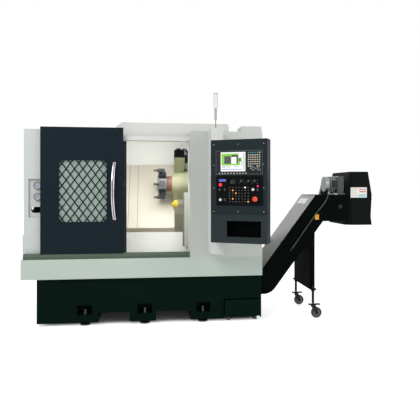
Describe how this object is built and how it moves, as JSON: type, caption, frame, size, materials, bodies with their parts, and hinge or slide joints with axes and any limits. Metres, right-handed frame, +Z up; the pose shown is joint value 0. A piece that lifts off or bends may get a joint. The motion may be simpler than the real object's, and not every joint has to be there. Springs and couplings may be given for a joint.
{
  "type": "slant-bed turning centre",
  "caption": "Slant-bed turning centre with sliding door, chuck spindle, tool turret, tailstock, swivelling control box, coolant tank and rising chip conveyor.",
  "frame": {"origin": "centre of the bounding box on the floor", "axes": "+X along the spindle from the headstock to the chip conveyor, +Y from the operator to the back, +Z up"},
  "size_m": [3.23, 2.2675, 2.062],
  "materials": {
    "base_paint": "dark green textured enamel, satin",
    "cover_paint": "light grey-green textured enamel, satin",
    "hood_paint": "off-white enamel, satin",
    "inner_paint": "white enamel, satin",
    "sill_paint": "dark green enamel, satin",
    "door_paint": "navy slate textured enamel",
    "box_paint": "dark slate textured enamel",
    "conveyor_paint": "black enamel, satin",
    "casting_paint": "painted casting, ground on the ways",
    "way_beige": "beige enamel, satin",
    "turret_paint": "grey-green enamel",
    "steel": "turned and ground steel",
    "dark_steel": "blackened steel",
    "motor_alloy": "die-cast alloy, painted silver grey",
    "motor_black": "black enamel",
    "chrome": "polished chrome plate",
    "window": "laminated pane, faintly green",
    "seal": "matt black rubber",
    "panel_black": "fine-grained black panel",
    "lamp": "translucent white lens and grey tube",
    "button_red": "moulded orange-red cap",
    "button_white": "moulded white cap",
    "button_black": "moulded black cap",
    "yellow_paint": "yellow enamel",
    "wheel": "grey-green moulded tread"
  },
  "bodies": {
    "frame": {"machine_base": "base_paint", "levelling_feet": "dark_steel", "slant_bed": "casting_paint", "headstock": "casting_paint", "way_cover": "way_beige", "bed_cover": "inner_paint", "front_apron": "cover_paint", "door_rail": "sill_paint", "door_top_rail": "steel", "left_cover": "cover_paint", "right_cover": "cover_paint", "hood": "hood_paint", "rear_guard": "cover_paint", "pressure_gauges": "steel", "signal_light": "lamp", "electrical_cabinet": "cover_paint", "control_column": "hood_paint", "conveyor_trough": "conveyor_paint", "conveyor_belt": "dark_steel", "discharge_cover": "conveyor_paint", "conveyor_gearmotor": "motor_alloy"},
    "door": {"door_panel": "door_paint", "door_window": "window", "window_grille": "door_paint", "door_handle": "chrome", "door_seal": "seal"},
    "spindle_unit": {"spindle": "steel", "chuck_body": "steel", "chuck_cylinder": "steel"},
    "jaw_1": {"chuck_jaw_1": "dark_steel"},
    "jaw_2": {"chuck_jaw_2": "dark_steel"},
    "jaw_3": {"chuck_jaw_3": "dark_steel"},
    "saddle_unit": {"saddle": "casting_paint", "saddle_cover": "way_beige", "x_servo_motor": "motor_black"},
    "cross_unit": {"cross_slide": "casting_paint", "turret_housing": "turret_paint"},
    "turret": {"turret_disc": "steel", "tool_holders": "dark_steel"},
    "tailstock": {"tailstock_body": "casting_paint"},
    "quill": {"tailstock_quill": "steel"},
    "centre": {"live_centre": "yellow_paint"},
    "panel": {"control_box": "box_paint", "cnc_unit": "panel_black", "operator_plate": "panel_black"},
    "stop_button": {"emergency_stop": "button_red"},
    "start_button": {"cycle_start": "button_white"},
    "hold_button": {"feed_hold": "button_black"},
    "on_button": {"power_button": "button_white"},
    "knob": {"override_knob": "button_black"},
    "belt_shaft": {"conveyor_drive_shaft": "steel"},
    "fork_1": {"caster_fork_1": "steel"},
    "fork_2": {"caster_fork_2": "steel"},
    "wheel_1": {"caster_wheel_1": "wheel"},
    "wheel_2": {"caster_wheel_2": "wheel"},
    "tank": {"coolant_tank": "base_paint"},
    "axle_1": {"tank_axle_1": "dark_steel"},
    "axle_2": {"tank_axle_2": "dark_steel"},
    "back_door": {"cabinet_door": "cover_paint"},
    "switch": {"main_switch": "button_red"}
  },
  "joints": [
    {"name": "door_slide", "type": "slide", "parent": "frame", "child": "door", "axis": [1, 0, 0], "range_m": [0, 0.56]},
    {"name": "spindle_spin", "type": "hinge", "parent": "frame", "child": "spindle_unit", "pos_m": [-1.015, -0.17488, 1.06], "axis": [1, 0, 0], "continuous": true},
    {"name": "jaw_1_slide", "type": "slide", "parent": "spindle_unit", "child": "jaw_1", "axis": [0, 0, 1], "range_m": [-0.004, 0.004]},
    {"name": "jaw_2_slide", "type": "slide", "parent": "spindle_unit", "child": "jaw_2", "axis": [0, -0.866, -0.5], "range_m": [-0.004, 0.004]},
    {"name": "jaw_3_slide", "type": "slide", "parent": "spindle_unit", "child": "jaw_3", "axis": [0, 0.866, -0.5], "range_m": [-0.004, 0.004]},
    {"name": "saddle_slide", "type": "slide", "parent": "frame", "child": "saddle_unit", "axis": [1, 0, 0], "range_m": [-0.31, 0.04]},
    {"name": "cross_slide_travel", "type": "slide", "parent": "saddle_unit", "child": "cross_unit", "axis": [0, 0.7071, 0.7071], "range_m": [-0.112, 0.07]},
    {"name": "turret_index", "type": "hinge", "parent": "cross_unit", "child": "turret", "pos_m": [-0.381, 0.03019, 1.26506], "axis": [1, 0, 0], "continuous": true},
    {"name": "tailstock_slide", "type": "slide", "parent": "frame", "child": "tailstock", "axis": [1, 0, 0], "range_m": [-0.08, 0.2]},
    {"name": "quill_slide", "type": "slide", "parent": "tailstock", "child": "quill", "axis": [1, 0, 0], "range_m": [-0.06, 0]},
    {"name": "live_centre_spin", "type": "hinge", "parent": "quill", "child": "centre", "pos_m": [-0.255, -0.17488, 1.06], "axis": [1, 0, 0], "continuous": true},
    {"name": "control_box_swivel", "type": "hinge", "parent": "frame", "child": "panel", "pos_m": [0.0715, -0.80688, 1.2], "axis": [0, 0, 1], "range_deg": [-40, 27]},
    {"name": "emergency_stop_press", "type": "slide", "parent": "panel", "child": "stop_button", "axis": [0.454, 0.891, 0], "range_m": [0, 0.004], "stiffness_N_per_m": 800},
    {"name": "cycle_start_press", "type": "slide", "parent": "panel", "child": "start_button", "axis": [0.454, 0.891, 0], "range_m": [0, 0.003], "stiffness_N_per_m": 400},
    {"name": "feed_hold_press", "type": "slide", "parent": "panel", "child": "hold_button", "axis": [0.454, 0.891, 0], "range_m": [0, 0.003], "stiffness_N_per_m": 400},
    {"name": "power_press", "type": "slide", "parent": "panel", "child": "on_button", "axis": [0.454, 0.891, 0], "range_m": [0, 0.003], "stiffness_N_per_m": 400},
    {"name": "override_turn", "type": "hinge", "parent": "panel", "child": "knob", "pos_m": [0.16878, -1.01244, 1.266], "axis": [-0.454, -0.891, 0], "range_deg": [-135, 135]},
    {"name": "conveyor_drive", "type": "hinge", "parent": "frame", "child": "belt_shaft", "pos_m": [1.3, -0.23488, 1.0445], "axis": [0, 1, 0], "continuous": true},
    {"name": "caster_swivel_1", "type": "hinge", "parent": "frame", "child": "fork_1", "pos_m": [1.021, -0.48888, 0.2], "axis": [0, 0, 1], "continuous": true},
    {"name": "caster_swivel_2", "type": "hinge", "parent": "frame", "child": "fork_2", "pos_m": [1.021, 0.05512, 0.2], "axis": [0, 0, 1], "continuous": true},
    {"name": "caster_roll_1", "type": "hinge", "parent": "fork_1", "child": "wheel_1", "pos_m": [1.053, -0.48888, 0.0503], "axis": [0, 1, 0], "continuous": true},
    {"name": "caster_roll_2", "type": "hinge", "parent": "fork_2", "child": "wheel_2", "pos_m": [1.053, 0.05512, 0.0503], "axis": [0, 1, 0], "continuous": true},
    {"name": "tank_slide", "type": "slide", "parent": "frame", "child": "tank", "axis": [0, -1, 0], "range_m": [0, 0.9]},
    {"name": "tank_roll_1", "type": "hinge", "parent": "tank", "child": "axle_1", "pos_m": [0.34, -0.47288, 0.0223], "axis": [1, 0, 0], "continuous": true},
    {"name": "tank_roll_2", "type": "hinge", "parent": "tank", "child": "axle_2", "pos_m": [0.34, 0.37512, 0.0223], "axis": [1, 0, 0], "continuous": true},
    {"name": "cabinet_door_hinge", "type": "hinge", "parent": "frame", "child": "back_door", "pos_m": [-0.329, 1.09512, 1.1], "axis": [0, 0, 1], "range_deg": [0, 120]},
    {"name": "main_switch_turn", "type": "hinge", "parent": "back_door", "child": "switch", "pos_m": [0.395, 1.12012, 1.38], "axis": [0, 1, 0], "range_deg": [0, 90]}
  ],
  "couplings": [
    {"joint": "jaw_2_slide", "follows": "jaw_1_slide", "ratio": 1},
    {"joint": "jaw_3_slide", "follows": "jaw_1_slide", "ratio": 1}
  ]
}
